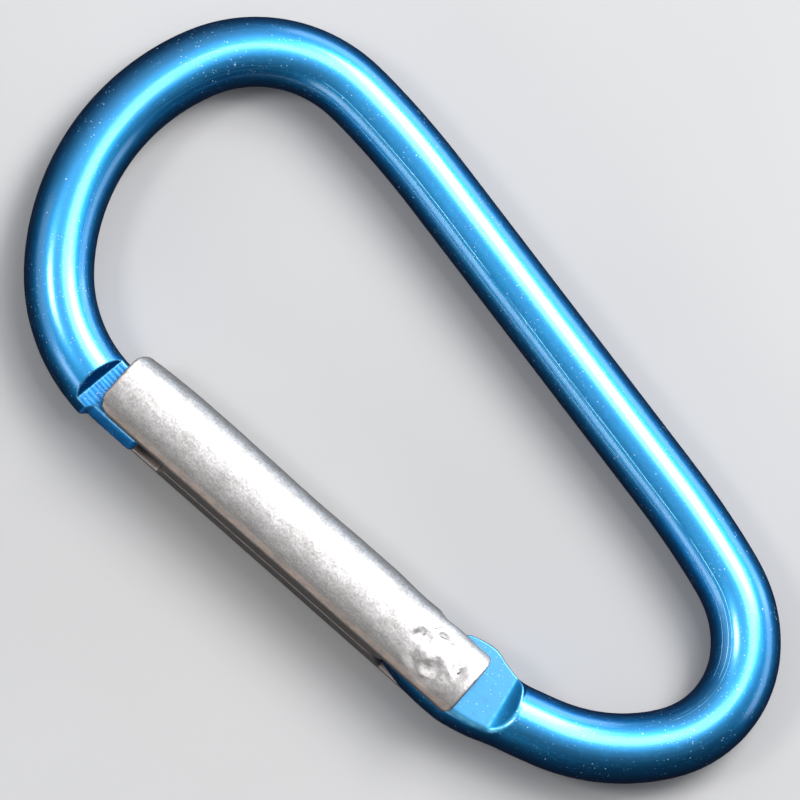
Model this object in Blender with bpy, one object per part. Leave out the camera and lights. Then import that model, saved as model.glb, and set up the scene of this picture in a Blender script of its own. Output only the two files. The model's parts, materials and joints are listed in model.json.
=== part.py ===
"""A carabiner keyring: a bent aluminium rod closed by a sprung gate of folded sheet.

World frame: metres.  The ring lies flat on XY, its straight spine runs along X, +Y goes
from the gate to the spine, and the origin is the middle of the outline.

Gate frame: the origin is the middle of the pivot, +X runs along the gate from the nose of
the rod to the pivot, and +Y points into the ring.  It is turned by GATE_TILT in the world.
"""

import math

import bmesh
import bpy
from mathutils import Matrix, Vector

MM = 0.001

# Rod: round bar bent in one plane.  The path starts at the tip of the nose, heads away from
# the gate, and always turns right, by a full turn in all, to the tip of the tang.
ROD_RADIUS = 2.32 * MM
GATE_TILT = math.radians(11.4)
NOSE_TIP = (-24.0 * MM, -1.02 * MM)
PATH = (
    ("line", 3.05 * MM),
    ("bend", 11.0 * MM, 51.3),
    ("bend", 15.85 * MM, 63.6),
    ("bend", 9.3 * MM, 68.8),
    ("bend", 60.0 * MM, 7.7),
    ("line", 24.88 * MM),
    ("bend", 60.0 * MM, 7.1),
    ("bend", 8.5 * MM, 34.7),
    ("bend", 6.8 * MM, 70.9),
    ("bend", 12.8 * MM, 38.9),
    ("line", 1.91 * MM),
    ("bend", 12.35 * MM, 17.0),
    ("line", 5.6 * MM),
)
ROD_SIDES = 32
BEND_STEP = 7.0  # degrees between rings on a bend
OUTLINE_SAMPLES = 2000  # places along the path that find the middle of the outline
END_CLEARANCE = 0.3 * MM  # no plain ring stands this close to a milled or pressed end

# Milled nose: a tongue that the gate closes over, then a neck, then the full rod.
# Distances are along the path from the tip of the nose.
TONGUE_LENGTH = 3.65 * MM
NOSE_THICKNESS = 2.6 * MM
NOSE_RAMP = (4.7 * MM, 5.3 * MM)
TONGUE_OUTER = 1.46 * MM
TONGUE_INNER = 2.79 * MM
TONGUE_CORNERS = (0.5 * MM, 0.8 * MM)  # outer, inner
TONGUE_ROUNDING = 1.4 * ROD_RADIUS  # height of the ellipse that the flats cut, so the edges stand steep
TONGUE_STEP = 0.1 * MM  # length over which the tongue drops from the neck
TONGUE_RINGS = (2.2 * MM, 3.05 * MM)
NOSE_RAMP_STEPS = 4

# Pressed tang: the flat eye of the rod between the gate's ears.
# Distances are along the path from the tip of the tang.
TANG_THICKNESS = 3.06 * MM
TANG_RAMP = (7.85 * MM, 8.95 * MM)
TANG_CORNERS = (0.4 * MM, 0.2 * MM)  # outer, inner
TANG_RAMP_STEPS = 5
TANG_RINGS = (1.2 * MM, 0.75 * MM, 9)  # first ring, spacing and number of rings on the flat
TANG_TIP = -2.65 * MM  # gate frame X of the tip
# Half widths of the tang as (distance from its tip, half width), both in mm.
TANG_OUTER = ((0.0, 2.6), (2.2, 2.97), (5.0, 3.03), (6.6, 2.75), (8.95, 2.32))
TANG_INNER = ((0.0, 1.36), (1.0, 1.36), (2.65, 2.1), (3.45, 2.68), (5.2, 3.06), (6.6, 2.72), (8.3, 2.32))

# Gate sleeve: sheet folded round the cavity, with its seam on the outer side.
SHEET = 0.8 * MM
SLEEVE_ENDS = (-27.8 * MM, 2.95 * MM)
SLEEVE_HALF_WIDTH = 2.6 * MM
CROWN_CENTRE = 0.2 * MM
CROWN_RISE = 2.6 * MM
CROWN_POWER = 2.4  # 2 would make the crown's outside a true ellipse
EAR_POWER = 3.1  # the ears are pressed squarer against the tang
EAR_PRESS = (-4.5 * MM, -1.5 * MM)  # gate frame X over which the crown turns into the ears
CAVITY_POWER = 4.0  # the crown's inside is squarer, as the folding punch leaves it
UNDERSIDE = -2.52 * MM
FOLD_RADIUS = 0.3 * MM
CUT_EDGE_RADIUS = 0.02 * MM  # the wall's foot where the wing is cut away
FOLD_FILLET = 0.06 * MM  # height of the lead-in at the foot of the wall's inside
SEAM_GAP = 0.2 * MM
WING_SHARES = (0.35, 0.7, 1.0)  # rows of points across the wing, from the fold to the seam
ARCH_STEPS = 8
OUTER_WALL_STEPS = (0.9 * MM, 1.75 * MM, 2.2 * MM)  # below the crown's centre
INNER_WALL_STEPS = (0.9 * MM, 1.4 * MM, 1.75 * MM)
CLOSED_SPAN = (-21.3 * MM, -3.9 * MM)  # where the folded wings meet at the seam
SLOT_ROUNDING = 1.3 * MM
EAR_SLOT_START = -1.75 * MM
EAR_SLOT_HALF_WIDTH = 1.78 * MM
EAR_SLOT_ROUNDING = 0.9 * MM
NOSE_CORNER = 1.0 * MM
EAR_CORNERS = (0.3 * MM, 0.6 * MM)  # outer side, inner side
CORNER_FADE = 2.5 * MM  # length of sheet over which the rounded corners die out

# Spring seat: a tab of the near wing bent in across the cavity.
SEAT_SPAN = (-21.0 * MM, -20.4 * MM)
SEAT_HALF_WIDTH = 1.35 * MM
SEAT_TOP = 1.35 * MM
SEAT_ROOT = (0.25 * MM, 1.3 * MM)
SEAT_ROOT_DEPTH = 0.4 * MM  # how far the root reaches into the wing
SEAT_FLOOR_GAP = 0.2 * MM  # under the far half of the tab

# Pivot rivet
SHANK_RADIUS = 1.0 * MM
SHANK_CLEARANCE = 0.08 * MM
RIVET_HEAD_RADIUS = 1.5 * MM
RIVET_HEAD_DEPTH = 0.5 * MM
RIVET_SEAT_GAP = 0.06 * MM
RIVET_RECESS = 0.02 * MM  # the peened head stops this far under the ear's face
# The peened head as (depth under its top, share of the head's radius), from its rim inwards.
RIVET_DOME = ((0.12 * MM, 0.93), (0.06 * MM, 0.8), (0.0, 0.4))
CUTTER_OVERSHOOT = 0.5 * MM
TURNED_SIDES = 32

# Spring and push pin, on an axis inside the sleeve
SPRING_AXIS_Y = 0.15 * MM
SPRING_WIRE_RADIUS = 0.2 * MM
SPRING_RADIUS = 1.25 * MM  # to the middle of the wire
SPRING_TURNS = 12
SPRING_STEPS = 14  # points on each turn
WIRE_SIDES = 6
CLOSED_PITCH = 2.3 * SPRING_WIRE_RADIUS  # advance of the closed end turns
PIN_HEAD_RADIUS = 1.6 * MM
PIN_HEAD_LENGTH = 0.8 * MM
PIN_STEM_RADIUS = 0.85 * MM
PIN_STEM_LENGTH = 5.0 * MM
PIN_BEVEL = 0.12 * MM
PIN_GAP = 0.1 * MM  # between the head and the tang's tip
SEAT_GAP = 0.1 * MM


# ---------------------------------------------------------------- helpers


def clear_scene():
    for obj in list(bpy.data.objects):
        bpy.data.objects.remove(obj, do_unlink=True)


def make_material(name, color, roughness, metallic):
    material = bpy.data.materials.new(name)
    material.use_nodes = True
    shader = material.node_tree.nodes["Principled BSDF"]
    shader.inputs["Base Color"].default_value = (*color, 1.0)
    shader.inputs["Roughness"].default_value = roughness
    shader.inputs["Metallic"].default_value = metallic
    return material


def object_from_bmesh(name, mesh_data, material=None):
    """Turns a bmesh into a linked object, shaded smooth with its sharp edges kept."""
    bmesh.ops.recalc_face_normals(mesh_data, faces=mesh_data.faces[:])
    mesh = bpy.data.meshes.new(name)
    mesh_data.to_mesh(mesh)
    mesh_data.free()
    mesh.shade_smooth()
    mesh.set_sharp_from_angle(angle=math.radians(32))
    obj = bpy.data.objects.new(name, mesh)
    bpy.context.scene.collection.objects.link(obj)
    if material:
        mesh.materials.append(material)
    return obj


def skin_rings(rings):
    """Joins closed rings of points into one surface, with a flat cap on each end."""
    mesh_data = bmesh.new()
    rows = [[mesh_data.verts.new(point) for point in ring] for ring in rings]
    count = len(rows[0])
    for first, second in zip(rows, rows[1:]):
        for i in range(count):
            j = (i + 1) % count
            mesh_data.faces.new((first[i], first[j], second[j], second[i]))
    mesh_data.faces.new(rows[0])
    mesh_data.faces.new(rows[-1][::-1])
    return mesh_data


def lathe(profile):
    """Revolves (x, radius) points round the X axis; both ends of the profile are closed."""
    angles = [2 * math.pi * i / TURNED_SIDES for i in range(TURNED_SIDES)]
    rings = []
    for x, radius in profile:
        rings.append([(x, radius * math.cos(a), radius * math.sin(a)) for a in angles])
    return skin_rings(rings)


def evenly(first, last, steps):
    """The ends of a span and the places that part it into equal steps."""
    return [first + (last - first) * i / steps for i in range(steps + 1)]


def slope_at(points, i):
    """Slope of a smooth curve through the points at point i, level at both ends."""
    if i in (0, len(points) - 1):
        return 0.0
    return (points[i + 1][1] - points[i - 1][1]) / (points[i + 1][0] - points[i - 1][0])


def interpolate(points, x):
    """Smooth curve through a short list of (x, value) points, flat beyond its ends."""
    if x <= points[0][0]:
        return points[0][1]
    for i, ((x0, v0), (x1, v1)) in enumerate(zip(points, points[1:])):
        if x <= x1:
            span = x1 - x0
            t = (x - x0) / span
            ease = t * t * (3 - 2 * t)
            bend = slope_at(points, i) * t * (1 - t) ** 2 - slope_at(points, i + 1) * t * t * (1 - t)
            return v0 + (v1 - v0) * ease + bend * span
    return points[-1][1]


def corner_loss(distance, radius):
    """How far a round corner of this radius cuts back at this distance from the end."""
    if distance >= radius:
        return 0.0
    return radius - math.sqrt(radius**2 - (radius - distance) ** 2)


def stand_on_pivot(obj):
    """Turns a piece revolved round X so that it stands along Z, the pivot's axis."""
    obj.rotation_euler = (0, math.pi / 2, 0)


def hide_cutter(obj):
    obj.hide_render = True
    obj.display_type = "WIRE"


def add_boolean(obj, other, operation):
    modifier = obj.modifiers.new(operation.title(), "BOOLEAN")
    modifier.operation = operation
    modifier.object = other
    modifier.solver = "EXACT"


# ---------------------------------------------------------------- the rod's path


def piece_length(piece):
    if piece[0] == "line":
        return piece[1]
    return piece[1] * math.radians(piece[2])


PATH_LENGTH = sum(piece_length(piece) for piece in PATH)


def locate(distance):
    """Gate frame position and heading of the path at this distance from the nose."""
    x, y = NOSE_TIP
    heading = math.pi
    for piece in PATH:
        length = piece_length(piece)
        step = min(distance, length)
        if piece[0] == "line":
            x += step * math.cos(heading)
            y += step * math.sin(heading)
        else:
            turned = heading - step / piece[1]
            x += piece[1] * (math.sin(heading) - math.sin(turned))
            y -= piece[1] * (math.cos(heading) - math.cos(turned))
            heading = turned
        distance -= length
        if distance <= 0:
            break
    return x, y, heading


def ring_distances():
    """Where rings stand along the path: close together on the worked ends and bends."""
    distances = {0.0, PATH_LENGTH}
    start = 0.0
    for piece in PATH:
        length = piece_length(piece)
        steps = 1 if piece[0] == "line" else math.ceil(piece[2] / BEND_STEP)
        distances.update(evenly(start, start + length, steps))
        start += length
    nose_end = NOSE_RAMP[1] + END_CLEARANCE
    tang_start = PATH_LENGTH - TANG_RAMP[1] - END_CLEARANCE
    distances = {d for d in distances if nose_end < d < tang_start}
    distances.update(nose_distances())
    distances.update(PATH_LENGTH - d for d in tang_distances())
    return sorted(distances)


def corner_steps(radius):
    return [radius * (1 - math.cos(math.radians(angle))) for angle in (0, 30, 60, 90)]


def nose_distances():
    step = [TONGUE_LENGTH, TONGUE_LENGTH + TONGUE_STEP]
    ramp = evenly(*NOSE_RAMP, NOSE_RAMP_STEPS)
    return corner_steps(TONGUE_CORNERS[1]) + list(TONGUE_RINGS) + step + ramp


def tang_distances():
    first, spacing, count = TANG_RINGS
    flat = [first + spacing * i for i in range(count)]
    return corner_steps(TANG_CORNERS[1]) + flat + evenly(*TANG_RAMP, TANG_RAMP_STEPS)


# ---------------------------------------------------------------- the rod's section


def ramp_share(distance, ramp):
    """0 on the flat, 1 on the full rod, hollow in between as a round cutter leaves it."""
    share = (distance - ramp[0]) / (ramp[1] - ramp[0])
    return min(max(share, 0.0), 1.0) ** 2


def full_section():
    """Outer half width, inner half width, half thickness, and the two halves' rounding."""
    return ROD_RADIUS, ROD_RADIUS, ROD_RADIUS, ROD_RADIUS, ROD_RADIUS


def nose_section(distance):
    thin = NOSE_THICKNESS / 2
    half = thin + (ROD_RADIUS - thin) * ramp_share(distance, NOSE_RAMP)
    if distance > TONGUE_LENGTH:
        return ROD_RADIUS, ROD_RADIUS, half, ROD_RADIUS, ROD_RADIUS
    outer = TONGUE_OUTER - corner_loss(distance, TONGUE_CORNERS[0])
    inner = TONGUE_INNER - corner_loss(distance, TONGUE_CORNERS[1])
    return outer, inner, half, TONGUE_ROUNDING, TONGUE_ROUNDING


def tang_section(distance):
    thin = TANG_THICKNESS / 2
    share = ramp_share(distance, TANG_RAMP)
    half = thin + (ROD_RADIUS - thin) * share
    outer = interpolate(TANG_OUTER, distance / MM) * MM - corner_loss(distance, TANG_CORNERS[0])
    inner = interpolate(TANG_INNER, distance / MM) * MM - corner_loss(distance, TANG_CORNERS[1])
    return outer, inner, half, ROD_RADIUS, ROD_RADIUS * (2 - share)


def rod_ring(distance):
    """One ring of the rod: two half ellipses, cut flat at the local half thickness."""
    from_tang = PATH_LENGTH - distance
    if distance < NOSE_RAMP[1]:
        outer, inner, half, outer_round, inner_round = nose_section(distance)
    elif from_tang < TANG_RAMP[1]:
        outer, inner, half, outer_round, inner_round = tang_section(from_tang)
    else:
        outer, inner, half, outer_round, inner_round = full_section()
    x, y, heading = locate(distance)
    inward = Vector((math.sin(heading), -math.cos(heading), 0))
    ring = []
    for i in range(ROD_SIDES):
        angle = 2 * math.pi * i / ROD_SIDES
        is_inner = math.cos(angle) >= 0
        offset = math.cos(angle) * (inner if is_inner else outer)
        z = math.sin(angle) * (inner_round if is_inner else outer_round)
        z = min(max(z, -half), half)
        ring.append(Vector((x, y, 0)) + inward * offset + Vector((0, 0, z)))
    return ring


def gate_to_world():
    """Turns the gate frame into the world frame, with the outline's middle at the origin."""
    turn = Matrix.Rotation(GATE_TILT, 4, "Z")
    places = [locate(distance) for distance in evenly(0.0, PATH_LENGTH, OUTLINE_SAMPLES)]
    spots = [turn @ Vector((x, y, 0)) for x, y, _ in places]
    middle_x = (min(s.x for s in spots) + max(s.x for s in spots)) / 2
    middle_y = (min(s.y for s in spots) + max(s.y for s in spots)) / 2
    return Matrix.Translation((-middle_x, -middle_y, 0)) @ turn


def make_frame_rod(material):
    mesh_data = skin_rings([rod_ring(d) for d in ring_distances()])
    rod = object_from_bmesh("frame_rod", mesh_data, material)
    bore_radius = SHANK_RADIUS + SHANK_CLEARANCE
    reach = ROD_RADIUS + CUTTER_OVERSHOOT
    bore = object_from_bmesh("tang_bore_cutter", lathe([(-reach, bore_radius), (reach, bore_radius)]))
    stand_on_pivot(bore)
    hide_cutter(bore)
    add_boolean(rod, bore, "DIFFERENCE")
    return rod, bore


# ---------------------------------------------------------------- the gate sleeve


def arch_points(half_width, rise, power, slot):
    """Half of the crown's arch, from its top, or from the ear slot's wall, to its side."""
    start = math.asin(min((slot / half_width) ** (power / 2), 1.0))
    points = []
    for i in range(ARCH_STEPS + 1):
        angle = start + (math.pi / 2 - start) * i / ARCH_STEPS
        across = half_width * math.sin(angle) ** (2 / power)
        up = rise * max(math.cos(angle), 0.0) ** (2 / power)
        points.append((CROWN_CENTRE + up, across))
    return points


def wing_points(reach):
    """Outer and inner points of the wing, from the wall's foot to its free edge at reach."""
    wall = SLEEVE_HALF_WIDTH
    inner_wall = wall - SHEET
    is_cut_away = reach >= inner_wall
    radius = CUT_EDGE_RADIUS if is_cut_away else FOLD_RADIUS
    outer = []
    for angle in (0, 45, 90):
        turn = math.radians(angle)
        outer.append((UNDERSIDE + radius * (1 - math.sin(turn)), wall - radius * (1 - math.cos(turn))))
    for share in WING_SHARES:
        outer.append((UNDERSIDE, wall - radius + (reach - wall + radius) * share))
    floor = UNDERSIDE + SHEET
    if is_cut_away:
        inner = [(floor + CUT_EDGE_RADIUS * (len(outer) - i), inner_wall) for i in range(len(outer))]
        return outer, inner
    inner = [(floor + FOLD_FILLET * (1 - share), inner_wall) for share in (0.0, 0.5, 1.0)]
    inner += [(floor, inner_wall + (reach - inner_wall) * share) for share in WING_SHARES]
    return outer, inner


def wall_points(half_width, drops):
    """The straight wall between the arch and the fold."""
    return [(CROWN_CENTRE - drop, half_width) for drop in drops]


def half_section(x):
    """Outer and inner points of half the folded sheet, from the crown to the free edge."""
    wide = SLEEVE_HALF_WIDTH
    narrow = SLEEVE_HALF_WIDTH - SHEET
    share = min(max((x - EAR_PRESS[0]) / (EAR_PRESS[1] - EAR_PRESS[0]), 0.0), 1.0)
    power = CROWN_POWER + (EAR_POWER - CROWN_POWER) * share
    outer = arch_points(wide, CROWN_RISE, power, ear_slot(x))
    outer += wall_points(wide, OUTER_WALL_STEPS)
    inner = arch_points(narrow, CROWN_RISE - SHEET, CAVITY_POWER, ear_slot(x))
    inner += wall_points(narrow, INNER_WALL_STEPS)
    wing_outer, wing_inner = wing_points(wing_reach(x))
    return outer + wing_outer, inner + wing_inner


def wing_reach(x):
    """How near the wing comes to the seam; the slots at both ends have rounded ends."""
    seam = SEAM_GAP / 2
    none = SLEEVE_HALF_WIDTH - SHEET
    past = max(CLOSED_SPAN[0] - x, x - CLOSED_SPAN[1])
    if past <= 0:
        return seam
    if past >= SLOT_ROUNDING:
        return none
    share = past / SLOT_ROUNDING
    return seam + (none - seam) * (1 - math.sqrt(1 - share**2))


def ear_slot(x):
    """Half width of the slot that parts the crown into two ears; 0 where there is none."""
    share = min(max((x - EAR_SLOT_START) / EAR_SLOT_ROUNDING, 0.0), 1.0)
    return EAR_SLOT_HALF_WIDTH * (1 - (1 - share) ** 4) ** 0.25


def end_pull(y, low_radius, high_radius):
    """How far a round corner pulls the sheet's end back at this height."""
    high = CROWN_CENTRE + CROWN_RISE
    return corner_loss(y - UNDERSIDE, low_radius) + corner_loss(high - y, high_radius)


def sleeve_point(x, y, z):
    """Places a point of the section, with the rounded corners of both ends."""
    from_nose = (x - SLEEVE_ENDS[0]) / CORNER_FADE
    from_ears = (SLEEVE_ENDS[1] - x) / CORNER_FADE
    if from_nose < 1:
        x += end_pull(y, NOSE_CORNER, NOSE_CORNER) * (1 - from_nose)
    if from_ears < 1:
        x -= end_pull(y, *EAR_CORNERS) * (1 - from_ears)
    return x, y, z


def sleeve_stations():
    """Gate frame X of the sheet's rows, closer together where the slots' ends are round."""
    first, last = SLEEVE_ENDS
    near_end = CORNER_FADE / 3
    rounding = [math.sin(math.radians(angle)) for angle in (0, 30, 50, 68, 90)]
    stations = [first, first + near_end, first + CORNER_FADE, last, last - near_end]
    stations += [CLOSED_SPAN[0] - SLOT_ROUNDING * share for share in rounding]
    stations += [CLOSED_SPAN[1] + SLOT_ROUNDING * share for share in rounding]
    stations += [EAR_SLOT_START + EAR_SLOT_ROUNDING * share for share in (0, 0.01, 0.05, 0.2, 0.5, 1)]
    stations += evenly(*CLOSED_SPAN, 5)[1:-1]
    return sorted(stations)


def sleeve_side(mesh_data, sign):
    """Half of the folded sheet, on the side of +Z or -Z, as one skin open at the crown."""
    rows = []
    for x in sleeve_stations():
        outer, inner = half_section(x)
        outer_row = [mesh_data.verts.new(sleeve_point(x, y, sign * z)) for y, z in outer]
        inner_row = [mesh_data.verts.new(sleeve_point(x, y, sign * z)) for y, z in inner]
        rows.append((outer_row, inner_row, ear_slot(x)))
    for (outer_a, inner_a, slot_a), (outer_b, inner_b, slot_b) in zip(rows, rows[1:]):
        for i in range(len(outer_a) - 1):
            mesh_data.faces.new((outer_a[i], outer_b[i], outer_b[i + 1], outer_a[i + 1]))
            mesh_data.faces.new((inner_a[i], inner_a[i + 1], inner_b[i + 1], inner_b[i]))
        mesh_data.faces.new((outer_a[-1], outer_b[-1], inner_b[-1], inner_a[-1]))
        if slot_a or slot_b:
            mesh_data.faces.new((outer_a[0], inner_a[0], inner_b[0], outer_b[0]))
    for outer_row, inner_row, _ in (rows[0], rows[-1]):
        for i in range(len(outer_row) - 1):
            mesh_data.faces.new((outer_row[i], outer_row[i + 1], inner_row[i + 1], inner_row[i]))


def make_spring_seat_block():
    """The tab: rooted in the near wing only, then as wide as the spring needs."""
    root_low, root_high = SEAT_ROOT
    inside = UNDERSIDE + SHEET
    outline = (
        (inside - SEAT_ROOT_DEPTH, root_low),
        (inside - SEAT_ROOT_DEPTH, root_high),
        (SEAT_TOP, SEAT_HALF_WIDTH),
        (SEAT_TOP, -SEAT_HALF_WIDTH),
        (inside + SEAT_FLOOR_GAP, -SEAT_HALF_WIDTH),
        (inside + SEAT_FLOOR_GAP, root_low),
    )
    rings = [[(x, y, z) for y, z in outline] for x in SEAT_SPAN]
    return object_from_bmesh("spring_seat_tab", skin_rings(rings))


def make_rivet_hole_cutter():
    hole = SHANK_RADIUS + RIVET_SEAT_GAP
    head = RIVET_HEAD_RADIUS + RIVET_SEAT_GAP
    foot = SLEEVE_HALF_WIDTH - RIVET_HEAD_DEPTH - RIVET_SEAT_GAP
    high = SLEEVE_HALF_WIDTH + CUTTER_OVERSHOOT
    rise = (head - hole) / RIVET_HEAD_DEPTH * (high - foot)
    profile = [(-high, hole + rise), (-foot, hole), (foot, hole), (high, hole + rise)]
    cutter = object_from_bmesh("rivet_hole_cutter", lathe(profile))
    stand_on_pivot(cutter)
    return cutter


def make_gate_sleeve(material):
    mesh_data = bmesh.new()
    sleeve_side(mesh_data, 1)
    sleeve_side(mesh_data, -1)
    bmesh.ops.remove_doubles(mesh_data, verts=mesh_data.verts[:], dist=0.0001 * MM)
    sleeve = object_from_bmesh("gate_sleeve", mesh_data, material)
    tab = make_spring_seat_block()
    cutter = make_rivet_hole_cutter()
    hide_cutter(tab)
    hide_cutter(cutter)
    add_boolean(sleeve, tab, "UNION")
    add_boolean(sleeve, cutter, "DIFFERENCE")
    return sleeve, tab, cutter


# ---------------------------------------------------------------- small parts


def make_pivot_rivet(material):
    """A plain shank with a head peened into the countersink of each ear."""
    top = SLEEVE_HALF_WIDTH - RIVET_RECESS
    half = [(SLEEVE_HALF_WIDTH - RIVET_HEAD_DEPTH, SHANK_RADIUS)]
    half += [(top - depth, RIVET_HEAD_RADIUS * share) for depth, share in RIVET_DOME]
    profile = [(-x, radius) for x, radius in reversed(half)] + half
    rivet = object_from_bmesh("pivot_rivet", lathe(profile), material)
    stand_on_pivot(rivet)
    return rivet


def make_push_pin(material):
    """A headed pin: the head bears on the tang, the stem guides the spring."""
    bevel = PIN_BEVEL
    back = -PIN_HEAD_LENGTH
    end = back - PIN_STEM_LENGTH
    profile = [
        (end, PIN_STEM_RADIUS - bevel),
        (end + bevel, PIN_STEM_RADIUS),
        (back, PIN_STEM_RADIUS),
        (back, PIN_HEAD_RADIUS),
        (-bevel, PIN_HEAD_RADIUS),
        (0.0, PIN_HEAD_RADIUS - bevel),
    ]
    return object_from_bmesh("push_pin", lathe(profile), material)


def make_return_spring(material, start, end):
    """A compression spring along X; its first and last turns are wound close."""
    first = start + SPRING_WIRE_RADIUS
    open_length = end - SPRING_WIRE_RADIUS - first - 2 * CLOSED_PITCH
    rings = []
    for turn in evenly(0.0, SPRING_TURNS, SPRING_TURNS * SPRING_STEPS):
        open_share = min(max((turn - 1) / (SPRING_TURNS - 2), 0), 1)
        closed_turns = min(turn, 1) + max(turn - SPRING_TURNS + 1, 0)
        x = first + CLOSED_PITCH * closed_turns + open_length * open_share
        rings.append(wire_ring(x, 2 * math.pi * turn))
    return object_from_bmesh("return_spring", skin_rings(rings), material)


def wire_ring(x, angle):
    """One ring of the coil's wire, at this place along the coil and this angle round it."""
    outward = Vector((0, math.cos(angle), math.sin(angle)))
    centre = Vector((x, 0, 0)) + outward * SPRING_RADIUS
    ring = []
    for i in range(WIRE_SIDES):
        around = 2 * math.pi * i / WIRE_SIDES
        side = outward * math.cos(around) + Vector((1, 0, 0)) * math.sin(around)
        ring.append(centre + side * SPRING_WIRE_RADIUS)
    return ring


# ---------------------------------------------------------------- assembly


def main():
    clear_scene()
    anodised = make_material("blue_anodised", (0.02, 0.22, 0.62), 0.18, 1.0)
    sheet = make_material("raw_aluminium", (0.72, 0.70, 0.71), 0.45, 1.0)
    rivet_metal = make_material("rivet_aluminium", (0.78, 0.77, 0.78), 0.35, 1.0)
    spring_steel = make_material("spring_steel", (0.45, 0.46, 0.48), 0.3, 1.0)
    pin_metal = make_material("pin_steel", (0.55, 0.55, 0.56), 0.3, 1.0)

    gate_axis = bpy.data.objects.new("gate_axis", None)
    bpy.context.scene.collection.objects.link(gate_axis)
    gate_axis.matrix_world = gate_to_world()

    gate_parts = [*make_frame_rod(anodised), *make_gate_sleeve(sheet), make_pivot_rivet(rivet_metal)]
    pin = make_push_pin(pin_metal)
    pin.location = (TANG_TIP - PIN_GAP, SPRING_AXIS_Y, 0)
    spring_end = TANG_TIP - PIN_GAP - PIN_HEAD_LENGTH - SEAT_GAP
    spring = make_return_spring(spring_steel, SEAT_SPAN[1] + SEAT_GAP, spring_end)
    spring.location = (0, SPRING_AXIS_Y, 0)
    for obj in [*gate_parts, pin, spring]:
        obj.parent = gate_axis


main()
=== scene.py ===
"""The looks of the carabiner keyring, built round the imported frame.

Gate frame: lengths in mm, origin at the middle of the pivot, +X along the gate from the rod's
nose to the pivot, +Y into the ring, +Z out of the ring's plane.  Every piece is modelled in it.
"""

import json
import math

import bmesh
import bpy
import numpy as np
from mathutils import Matrix, Quaternion, Vector, noise


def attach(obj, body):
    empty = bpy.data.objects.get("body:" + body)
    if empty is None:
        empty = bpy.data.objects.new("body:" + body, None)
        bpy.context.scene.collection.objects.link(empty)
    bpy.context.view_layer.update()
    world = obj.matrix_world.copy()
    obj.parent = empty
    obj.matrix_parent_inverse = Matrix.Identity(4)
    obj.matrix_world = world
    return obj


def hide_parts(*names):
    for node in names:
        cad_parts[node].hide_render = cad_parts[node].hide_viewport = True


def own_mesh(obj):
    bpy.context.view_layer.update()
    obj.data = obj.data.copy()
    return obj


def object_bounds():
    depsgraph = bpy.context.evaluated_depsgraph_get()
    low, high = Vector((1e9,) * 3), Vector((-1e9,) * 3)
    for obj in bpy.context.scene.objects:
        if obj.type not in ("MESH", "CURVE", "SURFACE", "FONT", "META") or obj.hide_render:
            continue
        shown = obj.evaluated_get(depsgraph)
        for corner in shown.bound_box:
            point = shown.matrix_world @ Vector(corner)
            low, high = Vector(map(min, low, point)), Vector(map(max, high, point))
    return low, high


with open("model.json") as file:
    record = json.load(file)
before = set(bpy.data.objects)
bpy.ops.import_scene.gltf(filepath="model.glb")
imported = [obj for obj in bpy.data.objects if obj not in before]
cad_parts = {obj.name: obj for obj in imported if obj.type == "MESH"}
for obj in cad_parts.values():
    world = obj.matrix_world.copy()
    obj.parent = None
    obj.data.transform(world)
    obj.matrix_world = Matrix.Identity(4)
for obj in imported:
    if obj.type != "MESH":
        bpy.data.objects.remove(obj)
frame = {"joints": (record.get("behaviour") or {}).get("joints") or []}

MM = 0.001
CAD_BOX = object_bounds()

# ---------------------------------------------------------------- the frame's axes


def joint(name):
    return next(j for j in frame["joints"] if j["name"] == name)


GATE_ALONG = -Vector(joint("pin_slide")["axis"]).normalized()
GATE_TILT = math.atan2(GATE_ALONG.y, GATE_ALONG.x)
GATE = Matrix.Translation(joint("gate_hinge")["pos_m"]) @ Matrix.Rotation(GATE_TILT, 4, "Z")

# ---------------------------------------------------------------- driving dimensions, mm

# The rod's centre line, from the tip of the nose, always turning right, to the tip of the tang.
ROD_RADIUS = 2.32
NOSE_TIP = (-24.0, -1.02)
PATH = (
    ("line", 3.05),
    ("bend", 11.0, 51.3),
    ("bend", 15.85, 63.6),
    ("bend", 9.3, 68.8),
    ("bend", 60.0, 7.7),
    ("line", 24.88),
    ("bend", 60.0, 7.1),
    ("bend", 8.5, 34.7),
    ("bend", 6.8, 70.9),
    ("bend", 12.8, 38.9),
    ("line", 1.91),
    ("bend", 12.35, 17.0),
    ("line", 5.6),
)
PATH_STEP = 0.05
BEND_BLEND = 3.2  # length over which one bend runs into the next
ROD_SIDES = 128
NOSE_DETAIL = 3  # times as many points round the nose, for its milling marks
NOSE_FINE = 5.9  # the nose's rings stand close together up to here
TANG_FINE = 9.7
RING_STEPS = {"nose": 0.05, "bar": 0.2, "tang": 0.1}

# Milled nose, measured from its tip.
TONGUE_LENGTH = 3.65
TONGUE_STEP = 0.45
TONGUE_HALF_WIDTHS = (1.92, 2.79)  # outer side, inner side
TONGUE_CORNERS = (0.5, 0.8)
TONGUE_ROUNDING = 0.85 * ROD_RADIUS
NOSE_HALF_THICKNESS = 1.3
NOSE_RAMP = (4.7, 5.3)
MILLED_EDGE = 0.14  # width of the rounding where a flat meets the round bar
RIB_PITCH = 0.3
RIB_DEPTH = 0.006
SIDE_RIB_PITCH = 0.52
SIDE_RIB_DEPTH = 0.02

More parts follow.
